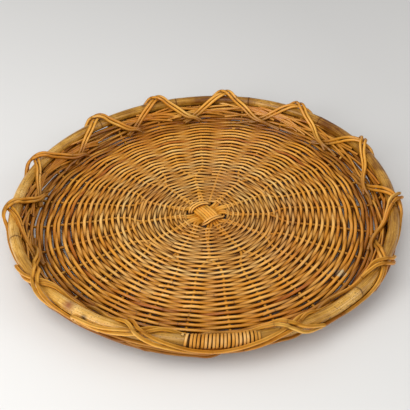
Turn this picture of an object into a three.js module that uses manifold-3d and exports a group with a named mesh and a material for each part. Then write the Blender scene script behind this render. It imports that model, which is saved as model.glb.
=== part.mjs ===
// A round rattan tray: a woven base on a cross of sticks, a low woven edge, a thick rim pole closed by a
// cane binding, and an open border of crossed pairs of rods that lash the pole to the weave.
// Millimetres, +Z up. The origin is on the floor under the middle of the tray, and the binding of the rim
// pole faces -Y.
import * as THREE from "three";
import { mergeVertices } from "three/addons/utils/BufferGeometryUtils.js";
import Module from "manifold-3d";

// Sizes of the rim pole
const RIM_RADIUS = 300;
const POLE_DIAMETER = 17;
const POLE_HEIGHT = 43;
const SCARF_LENGTH = 34;

// How far the rim strays from a true circle: in three shallow lobes, and as an oval
const LOBES = 3;
const LOBE_DEPTH = 3.3;
const LOBE_ANGLE = THREE.MathUtils.degToRad(65);
const OVAL_DEPTH = 2.2;
const OVAL_ANGLE = THREE.MathUtils.degToRad(57);

// How far the stick ends stray from even spacing at the rim: all one way, towards one side, and towards two
const STICK_TWIST = THREE.MathUtils.degToRad(-1.2);
const STICK_DRIFT = THREE.MathUtils.degToRad(3.6);
const STICK_DRIFT_ANGLE = THREE.MathUtils.degToRad(170);
const STICK_SQUEEZE = THREE.MathUtils.degToRad(2.1);
const STICK_SQUEEZE_ANGLE = THREE.MathUtils.degToRad(-16.5);

// Sizes of the base sticks and their cross
const STICK_DIAMETER = 4.4;
const STICKS_PER_BUNDLE = 6;
const CROSS_FREE_LENGTH = 16;
const FAN_START = 26;
const FAN_END = 42;
const PAIR_END = 106;
const SPREAD_END = 128;

// Sizes of the weave
const WEAVER_SIZE = 4.8;
const ROW_GAP = 0.7;
const TIP_SIZE = 3.2;
const TAPER_END = 130;
const TIE_SIZE = 4.3;
const TIE_DISTANCE = 18;
const TIE_ROUNDS = 2;
const CROWN_HEIGHT = 5;
const CROWN_RADIUS = 235;

// Sizes of the woven edge
const TURN_UP_RADIUS = 24;
const WALL_ANGLE = THREE.MathUtils.degToRad(60);
const WALL_BARE_LENGTH = 4.8;

// Sizes of the border
const BORDER_ROD_DIAMETER = 5.2;
const WALL_CROSSING_DROP = 6;
const PEAK_SECTION = THREE.MathUtils.degToRad(62);
const TAIL_STEP = THREE.MathUtils.degToRad(6);
const LONG_TAIL_SHARE = 0.48;
const SHORT_TAIL_SHARE = 0.3;

// The pairs cross on the pole at these angles, in degrees, set by eye. At the first ones the pair on top is
// cut short at the crossing and the other one has the long tail; at the rest the pair on top has it.
const PEAK_ANGLES = [-69, -33.5, -3.9, 26.7, 55.5, 82.3, 106.9, 130.2, 159.4, 184.3, 218.1, 252.1];
const PEAKS_CUT_SHORT = 4;

// Sizes of the binding
const BINDING_ANGLE = THREE.MathUtils.degToRad(-86.75);
const BINDING_TURNS = 20;
const CANE_WIDTH = 4.2;
const CANE_THICKNESS = 1.5;
const CANE_GAP = 0.75;

// The air between neighbours that bear on each other, and what is rasped off the foot to make it flat
const CLEARANCE = 0.3;
const FOOT_CUT = 0.25;

// Facet counts
const STICK_SIDES = 5;
const POLE_SIDES = 8;
const POLE_STEPS = 60;
const TURN_UP_STEPS = 3;

// Counts that follow from the cross
const ARMS = 4;
const STICK_ENDS = ARMS * STICKS_PER_BUNDLE + 1;
const STICKS_PER_GROUP = 2;
const GROUPS = (STICK_ENDS + 1) / STICKS_PER_GROUP;

// Sizes that follow from the ones above
const STICK_RADIUS = STICK_DIAMETER / 2;
const STICK_PITCH = STICK_DIAMETER + CLEARANCE;
const ROD_RADIUS = BORDER_ROD_DIAMETER / 2;
const POLE_RADIUS = POLE_DIAMETER / 2;
const ROW_PITCH = WEAVER_SIZE + ROW_GAP;
const TIE_PITCH = TIE_SIZE + ROW_GAP;
const LIFT = liftOf(WEAVER_SIZE);
const TURN_UP_SLACK = TURN_UP_RADIUS * (1 - Math.cos(WALL_ANGLE / TURN_UP_STEPS / 2));
const EDGE_LIFT = LIFT + TURN_UP_SLACK;
const STICK_HEIGHT = EDGE_LIFT + WEAVER_SIZE / 2 - FOOT_CUT;
const TIGHTEST_RADIUS = RIM_RADIUS + LOBES ** 2 * LOBE_DEPTH + 4 * OVAL_DEPTH;
const POLE_SLACK = TIGHTEST_RADIUS * (1 - Math.cos(Math.PI / POLE_STEPS));
const STEP_ANGLE = (2 * Math.PI) / STICK_ENDS;
const FIRST_END_ANGLE = BINDING_ANGLE - STEP_ANGLE * (STICK_ENDS / 2 + 1);

const WEAVE_COLOR = 0xc89448;
const STICK_COLOR = 0xb9853f;
const EDGE_COLOR = 0x8a5a2c;
const POLE_COLOR = 0xb98d4a;
const BORDER_COLOR = 0xd09a4a;
const BINDING_COLOR = 0xd8b374;

// How far the centre line of a rod lies above the centre line of the stick that it crosses
function liftOf(size) {
  return STICK_RADIUS + CLEARANCE + size / 2;
}

function rattan(color, roughness) {
  return new THREE.MeshStandardMaterial({ color, roughness, metalness: 0 });
}

// Geometry helpers

function polar(radius, height, angle) {
  return new THREE.Vector3(radius * Math.cos(angle), radius * Math.sin(angle), height);
}

// A point at a height and an angle round the tray, and at the radius that it would have on an even tray.
// The outer part of the base strays from that more and more, and the edge and the pole stray all the way.
function place(radius, height, angle) {
  const share = THREE.MathUtils.clamp((radius - SPREAD_END) / (CROWN_RADIUS - SPREAD_END), 0, 1);
  const lobes = LOBE_DEPTH * Math.cos(LOBES * (angle - LOBE_ANGLE));
  const oval = OVAL_DEPTH * Math.cos(2 * (angle - OVAL_ANGLE));
  return polar(radius + share * (lobes + oval), height, angle);
}

// One closed skin over a row of rings that have the same number of points, capped at both ends.
function loft(rings) {
  const sides = rings[0].length;
  const positions = [];
  const index = [];
  for (const ring of rings) {
    for (const point of ring) {
      positions.push(point.x, point.y, point.z);
    }
  }
  for (let i = 0; i + 1 < rings.length; i++) {
    for (let j = 0; j < sides; j++) {
      const a = i * sides + j;
      const b = i * sides + ((j + 1) % sides);
      index.push(a, b, b + sides, a, b + sides, a + sides);
    }
  }
  const last = (rings.length - 1) * sides;
  for (let j = 1; j + 1 < sides; j++) {
    index.push(0, j + 1, j);
    index.push(last, last + j, last + j + 1);
  }
  const geometry = new THREE.BufferGeometry();
  geometry.setAttribute("position", new THREE.Float32BufferAttribute(positions, 3));
  geometry.setIndex(signedVolume(positions, index) < 0 ? index.reverse() : index);
  geometry.computeVertexNormals();
  return geometry;
}

const wasm = await Module();
wasm.setup();

function toSolid(geometry) {
  const bare = geometry.clone();
  bare.deleteAttribute("normal");
  bare.deleteAttribute("uv");
  const merged = mergeVertices(bare, 1e-3);
  const triVerts = new Uint32Array(merged.index.array);
  return new wasm.Manifold(new wasm.Mesh({
    numProp: 3,
    vertProperties: merged.attributes.position.array,
    triVerts,
  }));
}

function toGeometry(solid) {
  const { numProp, vertProperties, triVerts } = solid.getMesh();
  const geometry = new THREE.BufferGeometry();
  const interleaved = new THREE.InterleavedBuffer(vertProperties, numProp);
  geometry.setAttribute("position", new THREE.InterleavedBufferAttribute(interleaved, 3, 0));
  geometry.setIndex(new THREE.BufferAttribute(triVerts, 1));
  geometry.computeVertexNormals();
  return geometry;
}

// What hangs below the floor is rasped off, which leaves the flats that the tray stands on.
function rasped(geometry) {
  const block = new THREE.BoxGeometry(2 * RIM_RADIUS, 2 * RIM_RADIUS, POLE_HEIGHT);
  block.translate(0, 0, -POLE_HEIGHT / 2);
  return toGeometry(toSolid(geometry).subtract(toSolid(block)));
}

function signedVolume(positions, index) {
  const corner = (i) => new THREE.Vector3().fromArray(positions, 3 * i);
  let sum = 0;
  for (let i = 0; i < index.length; i += 3) {
    const a = corner(index[i]);
    const b = corner(index[i + 1]);
    const c = corner(index[i + 2]);
    sum += a.dot(b.cross(c));
  }
  return sum / 6;
}

// A ring of section points, given across and along the normal, set at a centre on two directions.
function ringAt(centre, across, normal, section) {
  return section.map(([x, y]) => centre.clone().addScaledVector(across, x).addScaledVector(normal, y));
}

function polygon(sides, radius, turn = 0) {
  return Array.from({ length: sides }, (_, i) => {
    const angle = turn + (2 * Math.PI * i) / sides;
    return [radius * Math.cos(angle), radius * Math.sin(angle)];
  });
}

function rectangle(width, height) {
  const x = width / 2;
  const y = height / 2;
  return [[x, -y], [x, y], [-x, y], [-x, -y]];
}

// The section profile of base and edge, along which the sticks run

const TURN_TOP_HEIGHT = STICK_HEIGHT + TURN_UP_RADIUS * (1 - Math.cos(WALL_ANGLE));
const WALL_LENGTH = (POLE_HEIGHT - TURN_TOP_HEIGHT) / Math.sin(WALL_ANGLE) - POLE_RADIUS - CLEARANCE;
const TURN_TOP_RADIUS = RIM_RADIUS - (POLE_HEIGHT - TURN_TOP_HEIGHT) / Math.tan(WALL_ANGLE);
const BASE_EDGE = TURN_TOP_RADIUS - TURN_UP_RADIUS * Math.sin(WALL_ANGLE);
const TURN_LENGTH = TURN_UP_RADIUS * WALL_ANGLE;
const TURN_TOP = BASE_EDGE + TURN_LENGTH;
const STICK_END = TURN_TOP + WALL_LENGTH;
const EDGE_TOP = STICK_END - WALL_BARE_LENGTH;

// Radius, height and slope of the stick line at a run measured outwards from the middle of the base.
function profile(run) {
  if (run <= BASE_EDGE) {
    const crown = CROWN_HEIGHT * Math.max(0, 1 - run / CROWN_RADIUS);
    return { radius: run, height: STICK_HEIGHT + crown, slope: 0 };
  }
  const slope = Math.min((run - BASE_EDGE) / TURN_UP_RADIUS, WALL_ANGLE);
  const past = Math.max(0, run - TURN_TOP);
  return {
    radius: BASE_EDGE + TURN_UP_RADIUS * Math.sin(slope) + past * Math.cos(slope),
    height: STICK_HEIGHT + TURN_UP_RADIUS * (1 - Math.cos(slope)) + past * Math.sin(slope),
    slope,
  };
}

// Directions of the sheet at a run and an angle: out along the sheet, and the normal on its upper side.
function sheetFrame(run, angle) {
  const { slope } = profile(run);
  const along = place(Math.cos(slope), Math.sin(slope), angle);
  const normal = place(-Math.sin(slope), Math.cos(slope), angle);
  return { along, normal };
}

function sheetPoint(run, offset, angle) {
  const { radius, height } = profile(run);
  return place(radius, height, angle).addScaledVector(sheetFrame(run, angle).normal, offset);
}

// The binding's length along the pole, and the room that it takes from what touches the pole there

const BINDING_FACET = Math.PI / POLE_SIDES;
const BINDING_INNER = POLE_RADIUS + POLE_SLACK + CLEARANCE / Math.cos(BINDING_FACET);
const BINDING_OUTER = BINDING_INNER + CANE_THICKNESS / Math.cos(BINDING_FACET);
const BINDING_PITCH_ANGLE = (CANE_WIDTH + CANE_GAP) / (RIM_RADIUS - BINDING_OUTER);
const BINDING_HALF_ANGLE = (BINDING_PITCH_ANGLE * BINDING_TURNS) / 2;

function bindingPad(angle) {
  const turn = THREE.MathUtils.euclideanModulo(angle - BINDING_ANGLE + Math.PI, 2 * Math.PI) - Math.PI;
  const reach = BINDING_HALF_ANGLE + (2 * BORDER_ROD_DIAMETER + CANE_WIDTH) / RIM_RADIUS;
  return Math.abs(turn) < reach ? BINDING_OUTER - POLE_RADIUS : 0;
}

// Base sticks: where each end of a stick lies

// End 0 belongs to the added stick. The other ends go round in four arms of six.
function endAngle(end) {
  return FIRST_END_ANGLE + STEP_ANGLE * end;
}

function armOf(end) {
  return Math.floor((end - 1) / STICKS_PER_BUNDLE);
}

function armAngle(arm) {
  return FIRST_END_ANGLE + ((arm + 0.5) * 2 * Math.PI) / ARMS;
}

function armOffset(end) {
  const lane = (end - 1) % STICKS_PER_BUNDLE;
  return (lane - (STICKS_PER_BUNDLE - 1) / 2) * STICK_PITCH;
}

// Which of the groups of two an end belongs to, and the middle of that group
function groupOf(end) {
  return end === 0 ? 0 : Math.ceil(end / STICKS_PER_GROUP);
}

function groupAngle(group) {
  return group === 0 ? endAngle(0) : endAngle(group * STICKS_PER_GROUP - 0.5);
}

// Where an end that started at an even angle has got to at a radius.
function strayed(angle, radius) {
  const share = THREE.MathUtils.clamp((radius - FAN_END) / (BASE_EDGE - FAN_END), 0, 1);
  const drift = STICK_DRIFT * Math.cos(angle - STICK_DRIFT_ANGLE);
  const squeeze = STICK_SQUEEZE * Math.cos(2 * (angle - STICK_SQUEEZE_ANGLE));
  return angle + share * (STICK_TWIST + drift + squeeze);
}

// The plan of one end as corners, from the middle of the base out to the turn-up.
function endPlan(end) {
  const corner = (radius) => ({ radius, angle: strayed(endAngle(end), radius) });
  const spread = [SPREAD_END, BASE_EDGE].map(corner);
  if (end === 0) {
    const start = FAN_START + TIE_PITCH;
    return [{ radius: start, angle: endAngle(0) }, ...spread];
  }
  const side = end % STICKS_PER_GROUP === 1 ? -1 : 1;
  const lane = (radius) => ({
    radius,
    angle: strayed(groupAngle(groupOf(end)), radius) + side * Math.asin(STICK_PITCH / 2 / radius),
  });
  const arm = (radius) => ({
    radius,
    angle: armAngle(armOf(end)) + Math.asin(armOffset(end) / radius),
  });
  return [arm(CROSS_FREE_LENGTH), arm(FAN_START), lane(FAN_END), lane(PAIR_END), ...spread];
}

const PLANS = Array.from({ length: STICK_ENDS }, (_, end) => endPlan(end));

// The angle of a stick end where its plan crosses a radius.
function angleAt(end, radius) {
  const plan = PLANS[end];
  if (radius >= BASE_EDGE) {
    return rimAngle(end);
  }
  let i = 0;
  while (i + 2 < plan.length && plan[i + 1].radius < radius) {
    i++;
  }
  const a = polar(plan[i].radius, 0, plan[i].angle);
  const step = polar(plan[i + 1].radius, 0, plan[i + 1].angle).sub(a);
  const half = a.dot(step);
  const square = step.lengthSq();
  const t = (-half + Math.sqrt(half * half + square * (radius * radius - a.lengthSq()))) / square;
  const at = a.addScaledVector(step, t);
  const angle = Math.atan2(at.y, at.x);
  return angle + 2 * Math.PI * Math.round((endAngle(end) - angle) / (2 * Math.PI));
}

function rimAngle(end) {
  return strayed(endAngle(end), BASE_EDGE);
}

// The two bundles cross one on the other and come level where they fan out.
function bundleLift(radius) {
  const level = THREE.MathUtils.clamp((FAN_START - radius) / (FAN_START - CROSS_FREE_LENGTH), 0, 1);
  return (STICK_PITCH / 2) * level;
}

function bundleSide(end) {
  return armOf(end) % 2 === 0 ? 1 : -1;
}

// Centre line of one end from the cross to its tip under the rim pole.
function endLine(end) {
  const inner = PLANS[end].map(({ radius, angle }) =>
    sheetPoint(radius, end === 0 ? 0 : bundleSide(end) * bundleLift(radius), angle));
  const foot = inner.pop();
  const crownFoot = sheetPoint(CROWN_RADIUS, 0, angleAt(end, CROWN_RADIUS));
  const turn = Array.from({ length: TURN_UP_STEPS }, (_, i) =>
    sheetPoint(BASE_EDGE + (TURN_LENGTH * (i + 1)) / TURN_UP_STEPS, 0, rimAngle(end)));
  const tip = sheetPoint(STICK_END - bindingPad(rimAngle(end)), 0, rimAngle(end));
  return [...inner, crownFoot, foot, ...turn, tip];
}

// A round stick along a line, whose sections stay upright.
function stickAlong(line) {
  const section = polygon(STICK_SIDES, STICK_RADIUS, Math.PI / 2);
  const up = new THREE.Vector3(0, 0, 1);
  const rings = line.map((point, i) => {
    const before = line[Math.max(0, i - 1)];
    const after = line[Math.min(line.length - 1, i + 1)];
    const along = after.clone().sub(before).normalize();
    const across = along.clone().cross(up).normalize();
    return ringAt(point, across, across.clone().cross(along), section);
  });
  return loft(rings);
}

// Weavers

// Where the weavers start and end, as runs of the profile
const TIE_RADIUS = Math.hypot(TIE_DISTANCE + TIE_PITCH * TIE_ROUNDS, (STICKS_PER_BUNDLE / 2) * STICK_PITCH);
const CENTRE_START = (TIE_RADIUS + TIP_SIZE / 2) / Math.cos(Math.PI / GROUPS);
const CENTRE_END = PAIR_END + TIE_PITCH / 2;
const CORNER_SLACK = CENTRE_END * (1 - Math.cos(STEP_ANGLE / 2));
const BASE_END = BASE_EDGE - 3 * ROW_PITCH;

// The height of a bend over rods whose outermost centre lies a reach away, when the next bend on the
// other side of the sheet lies a spacing away: the straight stretch between the two clears the rods.
function bendHeight(size, reach, spacing) {
  let height = liftOf(size);
  for (let i = 0; i < 30; i++) {
    const slope = (2 * height) / spacing;
    const need = size / 2 + (STICK_RADIUS + CLEARANCE) * Math.hypot(1, slope);
    height = need / (1 - (2 * reach) / spacing);
  }
  return height;
}

// The thickness of the weaving rod, whose thin tip starts at the cross.
function sizeAt(run) {
  return THREE.MathUtils.mapLinear(Math.min(run, TAPER_END), CENTRE_START, TAPER_END, TIP_SIZE, WEAVER_SIZE);
}

// One weaver that goes over one group of sticks and under the next, spiralling out from row to row. It
// starts at the added stick and ends there at the first chance past its last run. bendsAt gives the angle
// and the height of each bend that it makes at a group.
function weaver(firstRun, firstSide, lastRun, groups, bendsAt) {
  const rings = [];
  const joint = CLEARANCE / firstRun;
  let run = firstRun;
  let side = firstSide;
  for (let k = 0; run < lastRun || k % groups !== 1; k++) {
    const size = sizeAt(run);
    for (const { angle, height } of bendsAt(k % groups, run)) {
      const turned = k === 0 ? angle + joint : angle;
      const { along, normal } = sheetFrame(run, turned);
      rings.push(ringAt(sheetPoint(run, side * height, turned), along, normal, rectangle(size, size)));
    }
    run += (size + ROW_GAP) / groups;
    side = -side;
  }
  return { geometry: loft(rings), endRun: run - (sizeAt(run) + ROW_GAP) / groups, endSide: -side };
}

// The turn from one angle to the next one on, between 0 and a full turn.
function turnTo(from, to) {
  return THREE.MathUtils.euclideanModulo(to - from, 2 * Math.PI);
}

// A bend over neighbouring stick ends, which may run aslant across the width of the row.
function bendOver(ends, radius) {
  const size = sizeAt(radius);
  const edges = [radius - size / 2, radius + size / 2];
  const angles = ends.flatMap((end) => edges.map((edge) => angleAt(end, edge)));
  const first = Math.min(...angles);
  const last = Math.max(...angles);
  const reach = (radius * (last - first)) / 2;
  const next = angleAt((ends[ends.length - 1] + 1) % STICK_ENDS, radius);
  const before = angleAt((ends[0] + STICK_ENDS - 1) % STICK_ENDS, radius);
  const spacing = radius * Math.min(turnTo(last, next), turnTo(before, first)) + 2 * reach;
  return { angle: (first + last) / 2, height: bendHeight(size, reach, spacing) + bundleLift(edges[0]) };
}

// In the middle of the base a bend goes over a group of two sticks, and further out over one stick.
function groupBends(group, run) {
  const last = group * STICKS_PER_GROUP;
  return [bendOver(group === 0 ? [0] : [last - 1, last], profile(run).radius)];
}

function stickBends(end, run) {
  return [bendOver([end], profile(run).radius)];
}

function edgeBends(end, run) {
  return [{ angle: bendOver([end], profile(run).radius).angle, height: EDGE_LIFT }];
}

// The weaver's first two rounds go over both arms of the upper bundle and under both of the lower one.
function crossTie() {
  const section = rectangle(TIE_SIZE, TIE_SIZE);
  const halfWidth = ((STICKS_PER_BUNDLE - 1) / 2) * STICK_PITCH + STICK_RADIUS;
  const height = STICK_PITCH / 2 + liftOf(TIE_SIZE);
  const rings = [];
  for (let k = 0; k < ARMS * TIE_ROUNDS; k++) {
    const arm = k % ARMS;
    const side = arm % 2 === 0 ? 1 : -1;
    for (const half of [-1, 1]) {
      const out = TIE_DISTANCE + (TIE_PITCH * (k + (half + 1) / 2)) / ARMS;
      const radius = Math.hypot(out, halfWidth);
      const angle = armAngle(arm) + half * Math.atan2(halfWidth, out);
      const { along, normal } = sheetFrame(radius, angle);
      rings.push(ringAt(sheetPoint(radius, side * height, angle), along, normal, section));
    }
  }
  return loft(rings);
}

// Border pairs

// Two rods that run side by side share one section with a groove on both faces.
const ROD_SPACING = BORDER_ROD_DIAMETER - CLEARANCE;
const GROOVE = ROD_RADIUS * 0.45;
const PAIR_SECTION = [
  [ROD_SPACING / 2 + ROD_RADIUS, 0],
  [ROD_SPACING / 2, ROD_RADIUS],
  [0, GROOVE],
  [-ROD_SPACING / 2, ROD_RADIUS],
  [-ROD_SPACING / 2 - ROD_RADIUS, 0],
  [-ROD_SPACING / 2, -ROD_RADIUS],
  [0, -GROOVE],
  [ROD_SPACING / 2, -ROD_RADIUS],
];

// A point beside the pole: an angle round its section, from outwards over the top to inwards, and a
// distance from its centre line.
function polePoint(sectionAngle, distance, angle) {
  const radius = RIM_RADIUS + distance * Math.cos(sectionAngle);
  return place(radius, POLE_HEIGHT + distance * Math.sin(sectionAngle), angle);
}

// The angle of a crossing, counted on past the last one and back before the first.
function peakAngle(peak) {
  const turns = Math.floor(peak / PEAK_ANGLES.length);
  return THREE.MathUtils.degToRad(PEAK_ANGLES[peak - turns * PEAK_ANGLES.length]) + turns * 2 * Math.PI;
}

// A pair runs up the wall and round the pole as a straight line would on them unrolled, from the low
// crossing in the wall to the peak on the pole. Its stations have a share of that way, and a share of the
// lift that takes it over the pair that it crosses.
const PAIR_START = -0.4;
const PAIR_TURN = 1.32;
const CUT_SHORT = 1.16;
const STATIONS_ON_TOP = [
  { share: PAIR_START, lift: 0 },
  { share: -0.14, lift: 1 },
  { share: 0.14, lift: 1 },
  { share: 0.42, lift: 0 },
  { share: 0.68, lift: 0 },
  { share: 0.84, lift: 1 },
  { share: 1, lift: 1 },
  { share: CUT_SHORT, lift: 1 },
  { share: PAIR_TURN, lift: 0 },
];
const STATIONS_BELOW = [PAIR_START, 0, 0.42, 0.68, 0.84, 1, CUT_SHORT, PAIR_TURN].map(
  (share) => ({ share, lift: 0 }));
const WIDEST_BEND = THREE.MathUtils.degToRad(40);
const CHORD_SLACK = TIGHTEST_RADIUS * (1 - Math.cos(TAIL_STEP / 2));
const WALL_LAYER = EDGE_LIFT + WEAVER_SIZE / 2 + CLEARANCE + ROD_RADIUS;
const BESIDE_POLE = POLE_RADIUS + POLE_SLACK + CLEARANCE + ROD_RADIUS;
const POLE_LAYER = BESIDE_POLE / Math.cos(WIDEST_BEND / 2) + CHORD_SLACK;
const FACING_SECTION = WALL_ANGLE + Math.PI / 2;
const FACING_RUN = STICK_END + CLEARANCE + POLE_RADIUS;
const CROSSING_RUN = TURN_TOP - WALL_CROSSING_DROP;
const PEAK_RUN = FACING_RUN + POLE_LAYER * (FACING_SECTION - PEAK_SECTION);

// A station at a share of the way, an angle and a height above the layer in which the lower pairs lie.
function pairStation(share, angle, height) {
  const run = THREE.MathUtils.lerp(CROSSING_RUN, PEAK_RUN, share);
  if (run <= FACING_RUN) {
    const near = THREE.MathUtils.clamp((run - TURN_TOP) / (FACING_RUN - TURN_TOP), 0, 1);
    return {
      point: sheetPoint(run, WALL_LAYER + near * bindingPad(angle) + height, angle),
      normal: sheetFrame(run, angle).normal,
    };
  }
  const section = FACING_SECTION - (run - FACING_RUN) / POLE_LAYER;
  return {
    point: polePoint(section, POLE_LAYER + bindingPad(angle) + height, angle),
    normal: polar(Math.cos(section), Math.sin(section), angle),
  };
}

// One pair of rods: from the weave, leaning along the rim, over the pole and down outside, where it may
// have a tail along the pole. lean is 1 anticlockwise and -1 clockwise.
function borderPair(peak, lean, onTop, tailShare) {
  const top = peakAngle(peak);
  const climb = Math.abs(top - peakAngle(peak - lean)) / 2;
  const tail = tailShare * Math.abs(peakAngle(peak + lean) - top);
  const over = BORDER_ROD_DIAMETER + 3 * CLEARANCE;
  const kept = (onTop ? STATIONS_ON_TOP : STATIONS_BELOW).filter(
    ({ share }) => tail > 0 || share <= CUT_SHORT);
  const stations = kept.map(({ share, lift }) =>
    pairStation(share, top + lean * climb * (share - 1), lift * over));
  const turn = climb * (PAIR_TURN - 1);
  const steps = Math.max(0, Math.ceil((tail - turn) / TAIL_STEP));
  for (let i = 1; i <= steps; i++) {
    stations.push(pairStation(PAIR_TURN, top + lean * (turn + ((tail - turn) * i) / steps), 0));
  }
  const rings = stations.map(({ point, normal }, i) => {
    const before = stations[Math.max(0, i - 1)].point;
    const after = stations[Math.min(stations.length - 1, i + 1)].point;
    const along = after.clone().sub(before).normalize();
    const across = along.clone().cross(normal).normalize();
    return ringAt(point, across, across.clone().cross(along), PAIR_SECTION);
  });
  return loft(rings);
}

// Rim pole and its binding

// The pole is one rod bent to a ring, whose slanted ends meet under the binding.
function rimPole() {
  const section = polygon(POLE_SIDES, POLE_RADIUS, Math.PI / POLE_SIDES);
  const joint = CLEARANCE / RIM_RADIUS;
  const first = BINDING_ANGLE + joint / 2;
  const sweep = 2 * Math.PI - joint;
  const rings = [];
  for (let i = 0; i <= POLE_STEPS; i++) {
    const isEnd = i === 0 || i === POLE_STEPS;
    const angle = first + (sweep * i) / POLE_STEPS;
    rings.push(section.map(([x, y]) => {
      const slant = isEnd ? (SCARF_LENGTH * y) / POLE_DIAMETER / RIM_RADIUS : 0;
      return place(RIM_RADIUS + x, POLE_HEIGHT + y, angle + slant);
    }));
  }
  return loft(rings);
}

// Flat cane wound round the pole over its joint, in one unbroken length.
function bindingRings() {
  const section = rectangle(CANE_WIDTH, CANE_THICKNESS);
  const distance = (BINDING_INNER + BINDING_OUTER) / 2;
  return Array.from({ length: BINDING_TURNS * POLE_SIDES + 1 }, (_, i) => {
    const turn = (2 * i + 1) * BINDING_FACET;
    const angle = BINDING_ANGLE - BINDING_HALF_ANGLE + (BINDING_PITCH_ANGLE * i) / POLE_SIDES;
    const across = new THREE.Vector3(-Math.sin(angle), Math.cos(angle), 0);
    const normal = place(Math.cos(turn), Math.sin(turn), angle);
    return ringAt(polePoint(turn, distance, angle), across, normal, section);
  });
}

// The least distance between the points of one turn and those of the turns after it.
function leastGap(rings, ringsPerTurn) {
  let least = Infinity;
  rings.forEach((ring, i) => {
    for (const other of rings.slice(i + ringsPerTurn - 1)) {
      for (const a of ring) {
        for (const b of other) {
          least = Math.min(least, a.distanceTo(b));
        }
      }
    }
  });
  return least;
}

// Assembly

const tray = new THREE.Group();
tray.name = "woven_tray";

function addPiece(name, geometry, material) {
  const mesh = new THREE.Mesh(geometry, material);
  mesh.name = name;
  tray.add(mesh);
}

const stickMaterial = rattan(STICK_COLOR, 0.6);
for (let arm = 0; arm < ARMS / 2; arm++) {
  const bundle = arm === 0 ? "upper" : "lower";
  for (let i = 1; i <= STICKS_PER_BUNDLE; i++) {
    const near = arm * STICKS_PER_BUNDLE + i;
    const far = (arm + 3) * STICKS_PER_BUNDLE + 1 - i;
    const line = [...endLine(near).reverse(), ...endLine(far)];
    addPiece("base_stick_" + bundle + "_" + i, stickAlong(line), stickMaterial);
  }
}
addPiece("base_stick_added", stickAlong(endLine(0)), stickMaterial);

const weaveMaterial = rattan(WEAVE_COLOR, 0.55);
addPiece("cross_tie", crossTie(), weaveMaterial);
const centre = weaver(CENTRE_START, 1, CENTRE_END, GROUPS, groupBends);
addPiece("centre_weaver", centre.geometry, weaveMaterial);
const baseStart = centre.endRun + sizeAt(centre.endRun) + ROW_GAP + CORNER_SLACK;
const base = weaver(baseStart, -centre.endSide, BASE_END, STICK_ENDS, stickBends);
addPiece("base_weaver", base.geometry, weaveMaterial);
const edge = weaver(base.endRun, base.endSide, EDGE_TOP - ROW_PITCH, STICK_ENDS, edgeBends);
addPiece("edge_weaver", rasped(edge.geometry), rattan(EDGE_COLOR, 0.65));

addPiece("rim_pole", rimPole(), rattan(POLE_COLOR, 0.5));
const binding = bindingRings();
addPiece("rim_binding", loft(binding), rattan(BINDING_COLOR, 0.5));
console.log("least gap between turns of the binding: " + leastGap(binding, POLE_SIDES).toFixed(2) + " mm");

const borderMaterial = rattan(BORDER_COLOR, 0.5);
for (let peak = 0; peak < PEAK_ANGLES.length; peak++) {
  const isCut = peak < PEAKS_CUT_SHORT;
  const over = borderPair(peak, 1, true, isCut ? 0 : LONG_TAIL_SHARE);
  const under = borderPair(peak, -1, false, isCut ? LONG_TAIL_SHARE : SHORT_TAIL_SHARE);
  addPiece("border_pair_over_" + (peak + 1), over, borderMaterial);
  addPiece("border_pair_under_" + (peak + 1), under, borderMaterial);
}

// The border isn't quite even, so the finished tray is moved until its box has its middle over the origin.
const middle = new THREE.Box3().setFromObject(tray).getCenter(new THREE.Vector3());
for (const piece of tray.children) {
  piece.geometry.translate(-middle.x, -middle.y, 0);
}

export default tray;
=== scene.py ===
"""The looks of a round rattan tray, piece by piece, in the order in which such a tray is woven."""

import math
import random
from collections import namedtuple

import bpy
import numpy as np
from mathutils import Matrix, Vector


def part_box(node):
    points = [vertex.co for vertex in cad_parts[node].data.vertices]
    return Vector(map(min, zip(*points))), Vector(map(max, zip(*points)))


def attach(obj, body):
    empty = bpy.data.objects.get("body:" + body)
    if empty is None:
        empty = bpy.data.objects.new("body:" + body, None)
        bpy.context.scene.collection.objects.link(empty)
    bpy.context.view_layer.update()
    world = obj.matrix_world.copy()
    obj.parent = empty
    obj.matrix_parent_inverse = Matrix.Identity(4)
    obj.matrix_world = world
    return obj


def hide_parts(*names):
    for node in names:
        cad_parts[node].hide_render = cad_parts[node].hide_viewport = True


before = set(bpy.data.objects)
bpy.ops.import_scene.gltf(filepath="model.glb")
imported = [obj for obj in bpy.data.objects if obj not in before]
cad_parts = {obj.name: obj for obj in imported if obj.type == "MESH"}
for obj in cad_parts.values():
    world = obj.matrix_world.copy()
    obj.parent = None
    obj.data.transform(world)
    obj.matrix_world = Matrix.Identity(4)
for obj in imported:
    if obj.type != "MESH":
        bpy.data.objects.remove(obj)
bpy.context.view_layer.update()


# Base sticks
# Twelve round rattan rods lie in two bundles that cross in the middle of the base, and a half rod is added
# so that the count of their ends is odd. The ends fan out in twos, then singly, and turn up under the pole.

STICK_DIAMETER = 0.0047
STICKS_PER_BUNDLE = 6
STICK_SPACING = 0.0047
STICK_ENDS = 4 * STICKS_PER_BUNDLE + 1
STEP_ANGLE = 2 * math.pi / STICK_ENDS
BINDING_ANGLE = math.radians(-86.75)
FIRST_END_ANGLE = BINDING_ANGLE - STEP_ANGLE * (STICK_ENDS / 2 + 1)

CROSS_FREE_LENGTH = 0.016
FAN_START = 0.026
FAN_END = 0.042
PAIR_END = 0.106
SPREAD_END = 0.128

RIM_RADIUS = 0.3
RIM_WAVES = [(0.0033, 3, 65), (0.0022, 2, 57)]
MEAN_STRAY = -1.2
STICK_WAVES = [(3.6, 1, 170), (2.1, 2, -16.5)]
POLE_RADIUS = 0.0085
STICK_HEIGHT = 0.0077
CROWN_HEIGHT = 0.005
CROWN_RADIUS = 0.235
TURN_UP_RADIUS = 0.024
WALL_ANGLE = math.radians(60)


def polar(radius, angle):
    return Vector((radius * math.cos(angle), radius * math.sin(angle), 0))


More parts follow.
